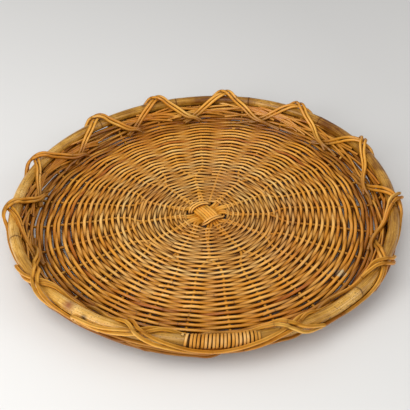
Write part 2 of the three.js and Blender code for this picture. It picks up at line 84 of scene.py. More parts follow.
def waves(parts, angle):
    """A sum of waves round the tray, each with its height, its count and a crest's place in degrees."""
    return sum(height * np.cos(count * (angle - math.radians(crest))) for height, count, crest in parts)


def rim_stray(angle):
    """How far the rim strays from a true circle: in three shallow lobes, and as an oval."""
    return waves(RIM_WAVES, angle)


pole_low, pole_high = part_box("rim_pole")
rim_line = [polar(RIM_RADIUS + rim_stray(math.radians(i)), math.radians(i)) for i in range(360)]
line_middle = [(min(p[axis] for p in rim_line) + max(p[axis] for p in rim_line)) / 2 for axis in (0, 1)]
MIDDLE = (pole_low + pole_high) / 2 - Vector((*line_middle, 0))

TURN_TOP_HEIGHT = STICK_HEIGHT + TURN_UP_RADIUS * (1 - math.cos(WALL_ANGLE))
WALL_RISE = MIDDLE.z - TURN_TOP_HEIGHT
BASE_EDGE = RIM_RADIUS - WALL_RISE / math.tan(WALL_ANGLE) - TURN_UP_RADIUS * math.sin(WALL_ANGLE)
TURN_TOP = BASE_EDGE + TURN_UP_RADIUS * WALL_ANGLE
STICK_END = TURN_TOP + WALL_RISE / math.sin(WALL_ANGLE) - POLE_RADIUS


def part_way(value, first, last):
    """How far a value has come from a first one to a last one, from 0 to 1."""
    return np.clip((value - first) / (last - first), 0, 1)


def place(radius, height, angle):
    """A point at the radius that it would have on an even tray, whose outer part strays with the rim."""
    strayed_radius = radius + part_way(radius, SPREAD_END, CROWN_RADIUS) * rim_stray(angle)
    point = polar(strayed_radius, angle)
    return Vector((MIDDLE.x + point.x, MIDDLE.y + point.y, height))


def profile(run):
    """Radius, height and slope of the stick line at a run measured outwards from the middle."""
    if run <= BASE_EDGE:
        return run, STICK_HEIGHT + CROWN_HEIGHT * max(0, 1 - run / CROWN_RADIUS), 0
    slope = min((run - BASE_EDGE) / TURN_UP_RADIUS, WALL_ANGLE)
    past = max(0, run - TURN_TOP)
    radius = BASE_EDGE + TURN_UP_RADIUS * math.sin(slope) + past * math.cos(slope)
    height = STICK_HEIGHT + TURN_UP_RADIUS * (1 - math.cos(slope)) + past * math.sin(slope)
    return radius, height, slope


def sheet_point(run, offset, angle):
    """A point at an offset from the stick line, upwards on the base and inwards on the edge."""
    radius, height, slope = profile(run)
    return place(radius - offset * math.sin(slope), height + offset * math.cos(slope), angle)


def end_angle(end):
    return FIRST_END_ANGLE + STEP_ANGLE * end


def arm_angle(arm):
    """The way in which an arm of the cross points."""
    return FIRST_END_ANGLE + (arm + 0.5) * math.pi / 2


def arm_side(arm):
    """1 for the arms of the bundle that lies on top in the middle of the cross, and -1 for the others."""
    return -1 if arm % 2 else 1


def group_angle(group):
    """The middle of a group of two stick ends. Group 0 is the added stick by itself."""
    return end_angle(0) if group == 0 else end_angle(2 * group - 0.5)


def strayed(angle, radius):
    """Where a stick end that starts out at an even angle has got to at a radius."""
    stray = math.radians(MEAN_STRAY + waves(STICK_WAVES, angle))
    return angle + part_way(radius, FAN_END, BASE_EDGE) * stray


def end_plan(end):
    """The corners of one stick end in plan, from the cross out to the turn-up."""
    spread = [(radius, strayed(end_angle(end), radius)) for radius in (SPREAD_END, BASE_EDGE)]
    if end == 0:
        return [(FAN_START + STICK_SPACING, end_angle(0))] + spread
    arm, lane = divmod(end - 1, STICKS_PER_BUNDLE)
    across = (lane - (STICKS_PER_BUNDLE - 1) / 2) * STICK_SPACING
    bundle = [
        (radius, arm_angle(arm) + math.asin(across / radius))
        for radius in (CROSS_FREE_LENGTH, FAN_START)
    ]
    middle = group_angle((end + 1) // 2)
    side = -1 if end % 2 else 1
    twos = [
        (radius, strayed(middle, radius) + side * math.asin(STICK_SPACING / 2 / radius))
        for radius in (FAN_END, PAIR_END)
    ]
    return bundle + twos + spread


PLANS = [end_plan(end) for end in range(STICK_ENDS)]


def angle_at(end, radius):
    """The angle of a stick end where its plan crosses a radius."""
    corners = PLANS[end]
    if radius >= BASE_EDGE:
        return corners[-1][1]
    for (near, near_angle), (far, far_angle) in zip(corners, corners[1:]):
        if radius < far:
            break
    start = polar(near, near_angle)
    step = polar(far, far_angle) - start
    half = start.dot(step)
    square = step.length_squared
    share = (math.sqrt(max(half * half + square * (radius * radius - near * near), 0)) - half) / square
    at = start + share * step
    angle = math.atan2(at.y, at.x)
    return angle + 2 * math.pi * round((near_angle - angle) / (2 * math.pi))


Rod = namedtuple("Rod", "knots thickness tone")
SHARP_ANGLE = math.radians(50)


def note(mesh, name, values):
    """Keeps a number for each point of a mesh, for its finish to read."""
    mesh.attributes.new(name, "FLOAT", "POINT").data.foreach_set("value", values.astype(np.float32))


def lay_grain(piece, sides, lengths, tones):
    """Gives rods made of rings a map with the metres along them and the share of a turn round them. A face
    that closes a ring goes on to the whole turn, so that the map has no seam."""
    mesh = piece.data
    along = np.concatenate([np.linspace(0, length, count) for count, length in lengths])
    if len(along) * sides != len(mesh.vertices):
        raise ValueError(piece.name + " has other rings than its rods")
    note(mesh, "tone", np.repeat(tones, [count * sides for count, _ in lengths]))
    corners = np.zeros(len(mesh.loops), int)
    mesh.loops.foreach_get("vertex_index", corners)
    starts = np.zeros(len(mesh.polygons), int)
    mesh.polygons.foreach_get("loop_start", starts)
    totals = np.zeros(len(mesh.polygons), int)
    mesh.polygons.foreach_get("loop_total", totals)
    face = np.repeat(np.arange(len(starts)), totals)
    side = corners % sides
    has_last_side = np.zeros(len(starts), bool)
    np.logical_or.at(has_last_side, face, side == sides - 1)
    wraps = has_last_side[face] & (side == 0)
    grain = np.zeros(2 * len(corners), np.float32)
    grain[0::2] = along[corners // sides]
    grain[1::2] = (side + wraps * sides) / sides
    if not mesh.uv_layers:
        mesh.uv_layers.new(name="UVMap")
    mesh.uv_layers[0].data.foreach_set("uv", grain)


def lay_depth(piece, sides):
    """Notes how far each point lies from the sheet of sticks, and how squarely it faces away from it. The
    finishes paint shade between the rods and along their sides from these."""
    mesh = piece.data
    points = np.zeros(3 * len(mesh.vertices))
    mesh.vertices.foreach_get("co", points)
    across, away, height = points.reshape(-1, 3).T - np.array([[MIDDLE.x], [MIDDLE.y], [0]])
    radius = np.hypot(across, away)
    angle = np.arctan2(away, across)
    radius -= part_way(radius, SPREAD_END, CROWN_RADIUS) * rim_stray(angle)
    turn_middle = STICK_HEIGHT + TURN_UP_RADIUS
    slope = np.clip(np.arctan2(radius - BASE_EDGE, turn_middle - height), 0, WALL_ANGLE)
    inwards = BASE_EDGE + TURN_UP_RADIUS * np.sin(slope) - radius
    upwards = height - turn_middle + TURN_UP_RADIUS * np.cos(slope)
    crown = CROWN_HEIGHT * np.clip(1 - radius / CROWN_RADIUS, 0, 1)
    depth = inwards * np.sin(slope) + upwards * np.cos(slope) - crown
    note(mesh, "depth", depth)
    rings = points.reshape(-1, sides, 3)
    from_middle = np.linalg.norm(rings - rings.mean(axis=1, keepdims=True), axis=2)
    by_ring = depth.reshape(-1, sides)
    facing = (by_ring - by_ring.mean(axis=1, keepdims=True)) / from_middle.max(axis=1, keepdims=True)
    note(mesh, "facing", facing.ravel())


def close_ends(piece):
    """Closes the cut ends of a piece's rods and smooths it, with the edges of the cuts left sharp."""
    bpy.ops.object.select_all(action="DESELECT")
    piece.select_set(True)
    bpy.context.view_layer.objects.active = piece
    bpy.ops.object.mode_set(mode="EDIT")
    bpy.ops.mesh.select_all(action="SELECT")
    bpy.ops.mesh.fill_holes(sides=0)
    bpy.ops.mesh.normals_make_consistent(inside=False)
    bpy.ops.object.mode_set(mode="OBJECT")
    bpy.ops.object.shade_smooth_by_angle(angle=SHARP_ANGLE)


def bend_rods(name, rods, sides=10, steps=6):
    """Bends round rods through their knots, as one piece, in steps from each knot to the next."""
    bpy.ops.object.select_all(action="DESELECT")
    bpy.ops.curve.primitive_bezier_curve_add()
    piece = bpy.context.object
    piece.name = name
    curve = piece.data
    curve.splines.clear()
    curve.bevel_depth = 1
    curve.bevel_resolution = (sides - 4) // 2
    curve.resolution_u = steps
    lengths = []
    for rod in rods:
        spline = curve.splines.new("BEZIER")
        spline.resolution_u = steps
        spline.bezier_points.add(len(rod.knots) - 1)
        for point, knot, thickness in zip(spline.bezier_points, rod.knots, rod.thickness):
            point.co = knot
            point.handle_left_type = point.handle_right_type = "AUTO"
            point.radius = thickness / 2
        lengths.append(((len(rod.knots) - 1) * steps + 1, spline.calc_length()))
    bpy.ops.object.convert(target="MESH")
    piece = bpy.context.object
    piece.data.name = name
    lay_grain(piece, sides, lengths, [rod.tone for rod in rods])
    lay_depth(piece, sides)
    close_ends(piece)
    return piece


class Value:
    """A number in a finish that changes over the surface. Reckoning with it adds Math nodes."""

    def __init__(self, finish, socket):
        self.finish = finish
        self.socket = socket

    def reckon(self, operation, *values):
        return self.finish.node("ShaderNodeMath", {"operation": operation}, *values)

    def __add__(self, other):
        return self.reckon("ADD", self, other)

    def __sub__(self, other):
        return self.reckon("SUBTRACT", self, other)

    def __mul__(self, other):
        return self.reckon("MULTIPLY", self, other)

    def __truediv__(self, other):
        return self.reckon("DIVIDE", self, other)

    def __rsub__(self, other):
        return self.reckon("SUBTRACT", other, self)

    __radd__ = __add__
    __rmul__ = __mul__

    def larger(self, other):
        return self.reckon("MAXIMUM", self, other)

    def smaller(self, other):
        return self.reckon("MINIMUM", self, other)

    def size(self):
        return self.reckon("ABSOLUTE", self)

    def cosine(self):
        return self.reckon("COSINE", self)

    def sine(self):
        return self.reckon("SINE", self)

    def clamped(self):
        return self.larger(0).smaller(1)

    def above(self, level, steepness):
        """0 up to a level, and from there up to 1 with a steepness."""
        return ((self - level) * steepness).clamped()

    def within(self, reach):
        """1 where the number is 0, and down to 0 at a reach."""
        return (1 - self / reach).clamped()


class Finish:
    """One material, built up from nodes."""

    def __init__(self, name):
        self.material = bpy.data.materials.new(name)
        self.material.use_nodes = True
        self.tree = self.material.node_tree
        self.shader = self.tree.nodes["Principled BSDF"]

    def feed(self, socket, value):
        if isinstance(value, Value):
            self.tree.links.new(value.socket, socket)
        else:
            socket.default_value = value

    def node(self, kind, settings=None, *values, output=0, **named):
        """Adds a node of a type with its settings, then its sockets' values by name or in order, where None
        leaves a socket as it is."""
        node = self.tree.nodes.new(kind)
        for name, setting in (settings or {}).items():
            if name == "stops":
                self.set_stops(node.color_ramp, setting)
            else:
                setattr(node, name, setting)
        for socket, value in zip(node.inputs, values):
            if value is not None:
                self.feed(socket, value)
        for name, value in named.items():
            self.feed(node.inputs[name], value)
        return Value(self, node.outputs[output])

    def set_stops(self, ramp, stops):
        while len(ramp.elements) < len(stops):
            ramp.elements.new(0.5)
        for element, (position, color) in zip(ramp.elements, stops):
            element.position = position
            element.color = (*color, 1)

    def mixed(self, share, first, second):
        """One colour passing into another."""
        colors = [color if isinstance(color, Value) else (*color, 1) for color in (first, second)]
        return self.node("ShaderNodeMix", {"data_type": "RGBA"}, share, *[None] * 5, *colors, output=2)

    def parts(self, point):
        """The three numbers of a point."""
        first = self.node("ShaderNodeSeparateXYZ", None, point)
        return [Value(self, socket) for socket in first.socket.node.outputs]

    def grain(self):
        """The metres along a rod, and the sine and cosine of the way round it."""
        along, share, _ = self.parts(self.node("ShaderNodeUVMap"))
        turn = share * (2 * math.pi)
        return along, turn.cosine(), turn.sine()

    def noted(self, name):
        """A number that the mesh keeps for each of its points."""
        return self.node("ShaderNodeAttribute", {"attribute_name": name}, output=2)

    def distance(self, point, spot):
        return self.node("ShaderNodeVectorMath", {"operation": "DISTANCE"}, point, spot, output=1)

    def noise(self, point, scale, detail, roughness):
        return self.node("ShaderNodeTexNoise", None, Vector=point, Scale=scale, Detail=detail,
                         Roughness=roughness)

    def wear(self, color, roughness, height, strength, coat):
        """Colour, varying roughness and relief, under a thin varnish."""
        self.feed(self.shader.inputs["Base Color"], color)
        self.feed(self.shader.inputs["Roughness"], roughness)
        bump = self.node("ShaderNodeBump", None, Strength=strength, Distance=0.0005, Height=height)
        self.feed(self.shader.inputs["Normal"], bump)
        self.feed(self.shader.inputs["Coat Weight"], coat)
        self.feed(self.shader.inputs["Coat Roughness"], 0.28)
        self.feed(self.shader.inputs["Specular IOR Level"], 0.08)


VARNISH = 0.8
LEAF_RING_SPACING = 0.24
LEAF_RING_WIDTH = 0.0014
LEAF_STAIN_WIDTH = 0.009
SCAR = sheet_point(0.245, 0.004, math.radians(-36))
SCAR_SIZE = 0.008
BURIED_DEPTH = 0.0056
LOW_SHADE_TOP = 0.039
LOW_SHADE_FADE = 0.016
OLIVE_PATCH = (0.42, 0.20, 0.008)
RED_PATCH = (0.52, 0.15, 0.002)
WORN_WOOD = (0.74, 0.62, 0.36)
# Colours of painted shade: between the rods and on their sides, low down under the pole, and on the sides
# of the cane turns.
RED_SHADE = (0.30, 0.07, 0.0005)
DARK_SHADE = (0.045, 0.005, 0.0001)
LOW_SHADE = (0.15, 0.045, 0.002)
SIDE_SHADE = (0.03, 0.008, 0.0005)


def rattan(name, shades, streak=0.45, blotch=0.45, ring_share=0.75, between_shade=0.0, side_shade=0.0, low_shade=0.0,
           unshaded_cross=False):
    """Peeled rattan under a thin varnish: long grain, patches of age and dark rings where leaves grew, with
    shade painted between the rods. There may be painted shade on the sides of each rod and low down on the
    piece as well, and none where the base sticks cross."""
    finish = Finish(name)
    tone = finish.noted("tone")
    along, cosine, sine = finish.grain()
    object_point = finish.node("ShaderNodeTexCoord", output=3)
    # A rod's own tone also takes it to its own place in the noises, so that no two rods are alike.
    fibre_point = finish.node("ShaderNodeCombineXYZ", None, along * 16 + tone * 90, cosine, sine)
    fibre = finish.noise(fibre_point, 2.4, 5.0, 0.65)
    stretch_point = finish.node("ShaderNodeCombineXYZ", None, along * 9 + tone * 400, tone * 31)
    stretch = finish.noise(stretch_point, 1.0, 2.0, 0.5)
    patch = finish.noise(object_point, 60.0, 3.0, 0.6)
    shade = tone + (fibre - 0.5) * streak + (patch - 0.5) * blotch + (stretch - 0.5) * blotch
    color = finish.node("ShaderNodeValToRGB", {"stops": shades}, shade.clamped())
    olive = finish.noise(stretch_point, 2.3, 2.0, 0.5)
    color = finish.mixed(olive.above(0.52, 5) * 0.5, color, OLIVE_PATCH)
    area = finish.noise(object_point, 11.0, 2.0, 0.5)
    color = finish.mixed(area.above(0.5, 6) * 0.4, color, RED_PATCH)
    cells = finish.node("ShaderNodeTexVoronoi", {"voronoi_dimensions": "1D"},
                        W=along / LEAF_RING_SPACING + tone * 770, Scale=1.0)
    from_ring = cells * LEAF_RING_SPACING
    ring_line = from_ring.within(LEAF_RING_WIDTH)
    ring_stain = from_ring.within(LEAF_STAIN_WIDTH)
    darkest = shades[0][1]
    ring = (ring_line * ring_share).larger(ring_stain * (ring_share * 0.35))
    color = finish.mixed(ring, color, [0.5 * part for part in darkest])
    scar = ((1.3 - finish.distance(object_point, SCAR) / SCAR_SIZE) * 2.5).clamped() * patch.above(0.34, 7)
    color = finish.mixed(scar * 0.85, color, WORN_WOOD)
    # Painted shade: a rod is darkened the nearer it lies to the sheet of sticks and the more a side faces
    # across it, and its varnish is left off there. None is painted where the base sticks cross.
    if unshaded_cross:
        between_shade = finish.distance(object_point, (0, 0, 0)).above(CROSS_FREE_LENGTH, 1 / FAN_END) * between_shade
    buried = finish.noted("depth").size().within(BURIED_DEPTH)
    buried = buried * buried
    color = finish.mixed(buried * 0.6 * between_shade, color, RED_SHADE)
    painted_shade = buried.larger(((0.78 - finish.noted("facing").size()) * 1.7).clamped())
    color = finish.mixed((painted_shade * between_shade).clamped(), color, DARK_SHADE)
    # Painted shade: the piece is darkened low down, under the pole.
    if low_shade:
        height = finish.parts(object_point)[2]
        low = ((LOW_SHADE_TOP - height) / LOW_SHADE_FADE).clamped()
        color = finish.mixed(low * low_shade, color, LOW_SHADE)
    # Painted shade: each cane turn is darkened towards its sides.
    if side_shade:
        side = ((0.75 - cosine) * 1.5).clamped()
        color = finish.mixed(side * side_shade, color, SIDE_SHADE)
    roughness = (fibre - 0.5) * 0.3 + 0.40
    varnish = (1 - painted_shade * 1.4).clamped() * VARNISH
    finish.wear(color, roughness, fibre * 0.5 + ring_line, 0.35, varnish)
    return finish.material


def dress(piece, material, slot, *nodes):
    """Gives a piece its finish, and puts it in place of the solids that it stands for, if there are any."""
    piece.data.materials.clear()
    piece.data.materials.append(material)
    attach(piece, "root")
    if nodes:
        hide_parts(*nodes)


def bundle_lift(end, radius):
    """The two bundles cross one on the other and come level where they fan out."""
    if end == 0:
        return 0
    side = arm_side((end - 1) // STICKS_PER_BUNDLE)
    return side * (1 - part_way(radius, CROSS_FREE_LENGTH, FAN_START)) * STICK_SPACING / 2


def stick_knots(end):
    inner = [sheet_point(radius, bundle_lift(end, radius), angle) for radius, angle in PLANS[end][:-1]]
    runs = [
        (SPREAD_END + CROWN_RADIUS) / 2, CROWN_RADIUS, BASE_EDGE,
        (BASE_EDGE + TURN_TOP) / 2, TURN_TOP, STICK_END,
    ]
    return inner + [sheet_point(run, 0, angle_at(end, profile(run)[0])) for run in runs]


STICK_SHADES = [
    (0.0, (0.11, 0.035, 0.003)),
    (0.35, (0.42, 0.14, 0.006)),
    (0.65, (0.76, 0.33, 0.03)),
    (1.0, (0.88, 0.48, 0.10)),
]
ADDED_TONE = 0.66
stick_finish = rattan("stick rattan", STICK_SHADES, between_shade=0.6, unshaded_cross=True)
chance = random.Random(11)
for arm, bundle in enumerate(("upper", "lower")):
    for i in range(1, STICKS_PER_BUNDLE + 1):
        name = "stick_" + bundle + "_" + str(i)
        near_end = arm * STICKS_PER_BUNDLE + i
        far_end = (arm + 3) * STICKS_PER_BUNDLE + 1 - i
        knots = stick_knots(near_end)[::-1] + stick_knots(far_end)
        thickness = [STICK_DIAMETER * chance.uniform(0.97, 1.03)] * len(knots)
        stick = bend_rods(name, [Rod(knots, thickness, chance.uniform(0.55, 0.85))])
        dress(stick, stick_finish, "stick", "base_" + name)
knots = stick_knots(0)
added_stick = bend_rods("stick_added", [Rod(knots, [STICK_DIAMETER] * len(knots), ADDED_TONE)])
dress(added_stick, stick_finish, "stick", "base_stick_added")


# Cross tie
# The first rounds of the thin weaver go over both arms of the upper bundle and under both of the lower one,
# and hold the cross together.

TIE_DISTANCE = 0.018
TIE_ROUNDS = 2
TIE_DIAMETER = 0.0043
ROW_GAP = 0.0007
TIE_BOW = 0.0015
TIE_TONE = 0.74
TIE_LIFT = STICK_SPACING / 2 + (STICK_DIAMETER + TIE_DIAMETER) / 2
HALF_BUNDLE = (STICKS_PER_BUNDLE / 2) * STICK_SPACING

tie_knots = []
for crossing in range(4 * TIE_ROUNDS):
    arm = crossing % 4
    for across in (-1, -0.5, 0.5, 1):
        rounds = (crossing + (across + 1) / 2) / 4
        out = TIE_DISTANCE + (TIE_DIAMETER + ROW_GAP) * rounds - TIE_BOW * abs(across)
        offset = arm_side(arm) * TIE_LIFT * (0.55 if abs(across) == 1 else 1)
        angle = arm_angle(arm) + math.atan2(across * HALF_BUNDLE, out)
        tie_knots.append(sheet_point(math.hypot(out, across * HALF_BUNDLE), offset, angle))
tie = bend_rods("cross_tie_rods", [Rod(tie_knots, [TIE_DIAMETER] * len(tie_knots), TIE_TONE)])
WEAVE_SHADES = [
    (0.0, (0.13, 0.022, 0.0005)),
    (0.3, (0.46, 0.125, 0.003)),
    (0.55, (0.79, 0.33, 0.022)),
    (0.8, (0.90, 0.47, 0.10)),
    (1.0, (0.91, 0.57, 0.18)),
]
weave_finish = rattan("weave rattan", WEAVE_SHADES, between_shade=0.97)
dress(tie, weave_finish, "weave", "cross_tie")


# Centre weave
# Thin peeled rods go over two sticks and under the next two, closely packed, and thicken as they come away
# from the cross. They bend at the sticks, and run straighter than a circle from one to the next.

TIP_DIAMETER = 0.0039
WEAVER_DIAMETER = 0.0051
BUTT_DIAMETER = 0.0055
TIP_PITCH = 0.0039
ROW_PITCH = 0.0046
TIE_RADIUS = math.hypot(TIE_DISTANCE + (TIE_DIAMETER + ROW_GAP) * TIE_ROUNDS, HALF_BUNDLE)
CENTRE_START = TIE_RADIUS + TIP_DIAMETER / 2
CENTRE_END = PAIR_END + (TIE_DIAMETER + ROW_GAP) / 2
CENTRE_TONE = 0.76
TAPER_END = 0.13
BUTT_START = 0.19
GROUPS = (STICK_ENDS + 1) // 2

LONG_DRIFT = 0.0010
SHORT_DRIFT = 0.0006
DRIFT_FULL = 0.12
LOOSE_START = 0.205
LOOSE_FULL = 0.225
BUNCHING = 0.0022
ROWS_PER_BUNCH = 3

FEWEST_BENDS = 6
PRESSED_IN = 0.0025
KNOT_INSET = 0.35
CLOSE_LIFT = 0.4
END_LIFT = 0.75
WIDE_SPAN = math.radians(18)
STRAIGHT_IN_TWOS = 0.4
STRAIGHT_INSIDE = 0.65
STRAIGHT_OUTSIDE = 0.25
OVERLAP_LENGTH = 0.011
OVERLAP_ASIDE = 0.0012

Bend = namedtuple("Bend", "run side ends")


def row_size(run):
    """The rods thicken quickly at first, and then slowly."""
    quickly = part_way(run, CENTRE_START, TAPER_END) * (WEAVER_DIAMETER - TIP_DIAMETER)
    slowly = part_way(run, TAPER_END, BUTT_START) * (BUTT_DIAMETER - WEAVER_DIAMETER)
    return TIP_DIAMETER + quickly + slowly


def row_pitch(run):
    return TIP_PITCH + part_way(run, CENTRE_START, TAPER_END) * (ROW_PITCH - TIP_PITCH)


def wind(first, last, side, groups):
    """The bends of a rod that goes over one group of stick ends and under the next, row by row."""
    bends = []
    run = first
    while run < last or len(bends) % len(groups) != 1:
        bends.append(Bend(run, side, groups[len(bends) % len(groups)]))
        run += row_pitch(run) / len(groups)
        side = -side
    return bends


def looseness(run, angle):
    """The outer rows lie loose on the left and the right of the tray, and closer at its front and back."""
    return part_way(run, LOOSE_START, LOOSE_FULL) * (0.45 + 0.35 * math.cos(2 * angle))


def wander(run, angle):
    """Rows stray from the true spiral, neighbouring ones together, and loose ones lie in bunches."""
    drift = LONG_DRIFT * math.sin(3 * angle + 38 * run) + SHORT_DRIFT * math.sin(7 * angle - 95 * run + 1)
    bunch = 2 * math.pi * run / (ROWS_PER_BUNCH * ROW_PITCH)
    bunch += 2.4 * math.sin(2 * angle + 1) + 1.7 * math.sin(3 * angle)
    return drift * part_way(run, 0, DRIFT_FULL) + looseness(run, angle) * BUNCHING * math.sin(bunch)


def bend_point(bend, angle, lift):
    return sheet_point(bend.run + wander(bend.run, angle), bend.side * lift, angle)


def straightness(bend, radius):
    """How much straighter than a circle a row runs between its sticks, from 0 to 1."""
    if len(bend.ends) > 1:
        return STRAIGHT_IN_TWOS
    return STRAIGHT_INSIDE + (STRAIGHT_OUTSIDE - STRAIGHT_INSIDE) * part_way(radius, 0.15, 0.23)


def weave_knots(bends, lift):
    """The knots of one rod: at the sticks that it goes over and under, halfway to the next stick where it
    needs one, and a little past its first and last stick, where it lies beside the next rods."""
    knots = []
    for bend, after in zip(bends, bends[1:] + [None]):
        radius = profile(bend.run)[0]
        angles = [angle_at(end, radius) for end in bend.ends]
        inset = KNOT_INSET * (angles[-1] - angles[0])
        lifted = 1 if inset else CLOSE_LIFT + (1 - CLOSE_LIFT) * part_way(radius, PAIR_END, SPREAD_END)
        for angle in sorted({angles[0] + inset, angles[-1] - inset}):
            knots.append(bend_point(bend, angle, lifted * lift))
        if after is None:
            continue
        span = (angle_at(after.ends[0], radius) - angles[-1]) % (2 * math.pi)
        if span > WIDE_SPAN or len(bend.ends) == 1:
            between = angles[-1] + span / 2
            sag = straightness(bend, radius) * radius * (1 - math.cos(span / 2))
            knots.append(sheet_point(bend.run + wander(bend.run, between) - sag, 0, between))
    first, last = bends[0], bends[-1]
    overlap = OVERLAP_LENGTH / profile(first.run)[0]
    before = angle_at(first.ends[0], profile(first.run)[0]) - overlap
    past = angle_at(last.ends[-1], profile(last.run)[0]) + overlap
    knots.insert(0, bend_point(first._replace(run=first.run + OVERLAP_ASIDE), before, END_LIFT * lift))
    knots.append(bend_point(last._replace(run=last.run - OVERLAP_ASIDE), past, END_LIFT * lift))
    return knots


def cut_lengths(bends, tone_at, chance, shortest=0.6, longest=1.5, spread=0.10):
    """Cuts a winding into lengths in metres such as a weaver really uses, each with its own thickness and a
    tone that strays from the one at its place."""
    rods = []
    start = 0
    while start < len(bends) - 1:
        run = bends[start].run
        gap = 2 * math.pi * run / (GROUPS if len(bends[start].ends) > 1 else STICK_ENDS)
        stop = start + max(FEWEST_BENDS, int(chance.uniform(shortest, longest) / gap))
        if len(bends) - 1 - stop < FEWEST_BENDS:
            stop = len(bends) - 1
        diameter = row_size(run) * chance.uniform(0.92, 1.07)
        knots = weave_knots(bends[start:stop + 1], (STICK_DIAMETER + diameter) / 2 - PRESSED_IN)
        thickness = [diameter * chance.uniform(0.97, 1.08) for _ in knots]
        rods.append(Rod(knots, thickness, tone_at(run) + chance.gauss(0, spread)))
        start = stop
    return rods


chance = random.Random(5)
stick_groups = [(0,)] + [(2 * group - 1, 2 * group) for group in range(1, GROUPS)]
centre_bends = wind(CENTRE_START, CENTRE_END, 1, stick_groups)
centre_rods = cut_lengths(centre_bends, lambda run: CENTRE_TONE, chance, 0.25, 0.7, spread=0.07)
centre = bend_rods("centre_weave", centre_rods)
dress(centre, weave_finish, "weave", "centre_weaver")


# Base weave
# The same rods go over one stick and under the next. Some rows are redder and darker. Towards the edge they
# lie loose in bunches of about three, mostly on the left and the right, and the ground shows between them.

BASE_END = BASE_EDGE - 3 * ROW_PITCH
BASE_TONE = 0.70
DARK_ROWS = 0.217
DARK_WIDTH = 0.010


def base_tone(run):
    """The rows get a little darker outwards, and much darker where the dark rows are."""
    dark = math.exp(-((run - DARK_ROWS) / DARK_WIDTH) ** 2)
    return BASE_TONE - 0.17 * dark - 0.07 * part_way(run, 0.15, 0.25)


single_ends = [(end,) for end in range(STICK_ENDS)]
base_bends = wind(centre_bends[-1].run, BASE_END, centre_bends[-1].side, single_ends)[1:]
base_rods = cut_lengths(base_bends, base_tone, chance)
base = bend_rods("base_weave", base_rods, steps=3)
dress(base, weave_finish, "weave", "base_weaver")


# Edge weave
# The rods that turn up under the rim pole are darker. More rods slant across them, from low in
# the wall to under the pole, inside and outside, and closest together at the back.

EDGE_SHADES = [
    (0.0, (0.07, 0.018, 0.0015)),
    (0.3, (0.27, 0.085, 0.006)),
    (0.6, (0.54, 0.22, 0.018)),
    (1.0, (0.82, 0.44, 0.08)),
]
EDGE_END = STICK_END - 0.003
EDGE_TONE = 0.5
SLANTING_TONE = 0.55
SLANTING_PIECES = 6
SLANTING_SHAKE = 0.0008
# How many rods slant, one in how many lies outside, and between which degrees of the rim they start.
SLANTING_RODS = [(64, 3, -180, 180), (30, 2, 25, 150)]


def slanting_rod(side, first, last, chance):
    """A rod laid across the wall on one side of it, with its ends tucked in. Most of them lean one way."""
    start = math.radians(chance.uniform(first, last))
    span = chance.uniform(0.3, 0.75) * (1 if chance.random() < 0.7 else -1)
    low = TURN_TOP + chance.uniform(-0.010, 0.004)
    high = STICK_END + chance.uniform(-0.003, 0.003)
    diameter = WEAVER_DIAMETER * chance.uniform(0.72, 0.95)
    knots = []
    for i in range(SLANTING_PIECES + 1):
        share = i / SLANTING_PIECES
        run = low + (high - low) * share ** 0.8 + chance.uniform(-SLANTING_SHAKE, SLANTING_SHAKE)
        offset = side * (STICK_DIAMETER / 2 + WEAVER_DIAMETER * (0.9 + 0.1 * chance.random()))
        if i in (0, SLANTING_PIECES):
            offset *= 0.5
        knots.append(sheet_point(run, offset, start + span * share))
    return Rod(knots, [diameter] * len(knots), chance.gauss(SLANTING_TONE, 0.14))


edge_bends = wind(base_bends[-1].run, EDGE_END, base_bends[-1].side, single_ends)
edge_rods = cut_lengths(edge_bends, lambda run: EDGE_TONE, chance)
for count, one_in, first, last in SLANTING_RODS:
    for i in range(count):
        edge_rods.append(slanting_rod(1 if i % one_in else -1, first, last, chance))
edge = bend_rods("edge_weave", edge_rods, steps=3)
dress(edge, rattan("edge rattan", EDGE_SHADES, between_shade=0.9), "edge_weave", "edge_weaver")


# Rim pole
# One thick rattan pole is bent to a ring, and its ends meet at the front. Its leaf rings stand out a little
# and are nearly black, and the grain runs along it in pale and brown streaks.

POLE_RINGS = [math.radians(angle) for angle in (100, 73.6, 46, 21, -7.4, -46, -163, 161, 130)]
POLE_JOINT = 0.0003 / RIM_RADIUS
KNOTS_ROUND = 240
RING_SWELL = 0.0009
SWELL_LENGTH = 0.006
UNEVENNESS = 0.0004
POLE_TONE = 0.5


def apart(angle, other):
    """The angle between two directions, the shorter way round."""
    return abs((angle - other + math.pi) % (2 * math.pi) - math.pi)


def round_pole(distance, section, angle):
    """A point at a distance from the pole's middle line. A section of 0 is outside, and 90 degrees is on
    top."""
    return place(RIM_RADIUS + distance * math.cos(section), MIDDLE.z + distance * math.sin(section), angle)


def pole_thickness(angle):
    """The pole thins and thickens along its length, and swells at its leaf rings."""
    away = min(apart(angle, ring) for ring in POLE_RINGS) * RIM_RADIUS
    swell = RING_SWELL * math.exp(-(away / SWELL_LENGTH) ** 2)
    return 2 * POLE_RADIUS + swell + UNEVENNESS * (math.sin(2 * angle + 1) - 0.5)


pole_knots = []
pole_sizes = []
for i in range(KNOTS_ROUND + 1):
    angle = BINDING_ANGLE + POLE_JOINT + (2 * math.pi - 2 * POLE_JOINT) * i / KNOTS_ROUND
    pole_knots.append(place(RIM_RADIUS, MIDDLE.z, angle))
    pole_sizes.append(pole_thickness(angle))
pole = bend_rods("pole", [Rod(pole_knots, pole_sizes, POLE_TONE)], sides=24, steps=3)

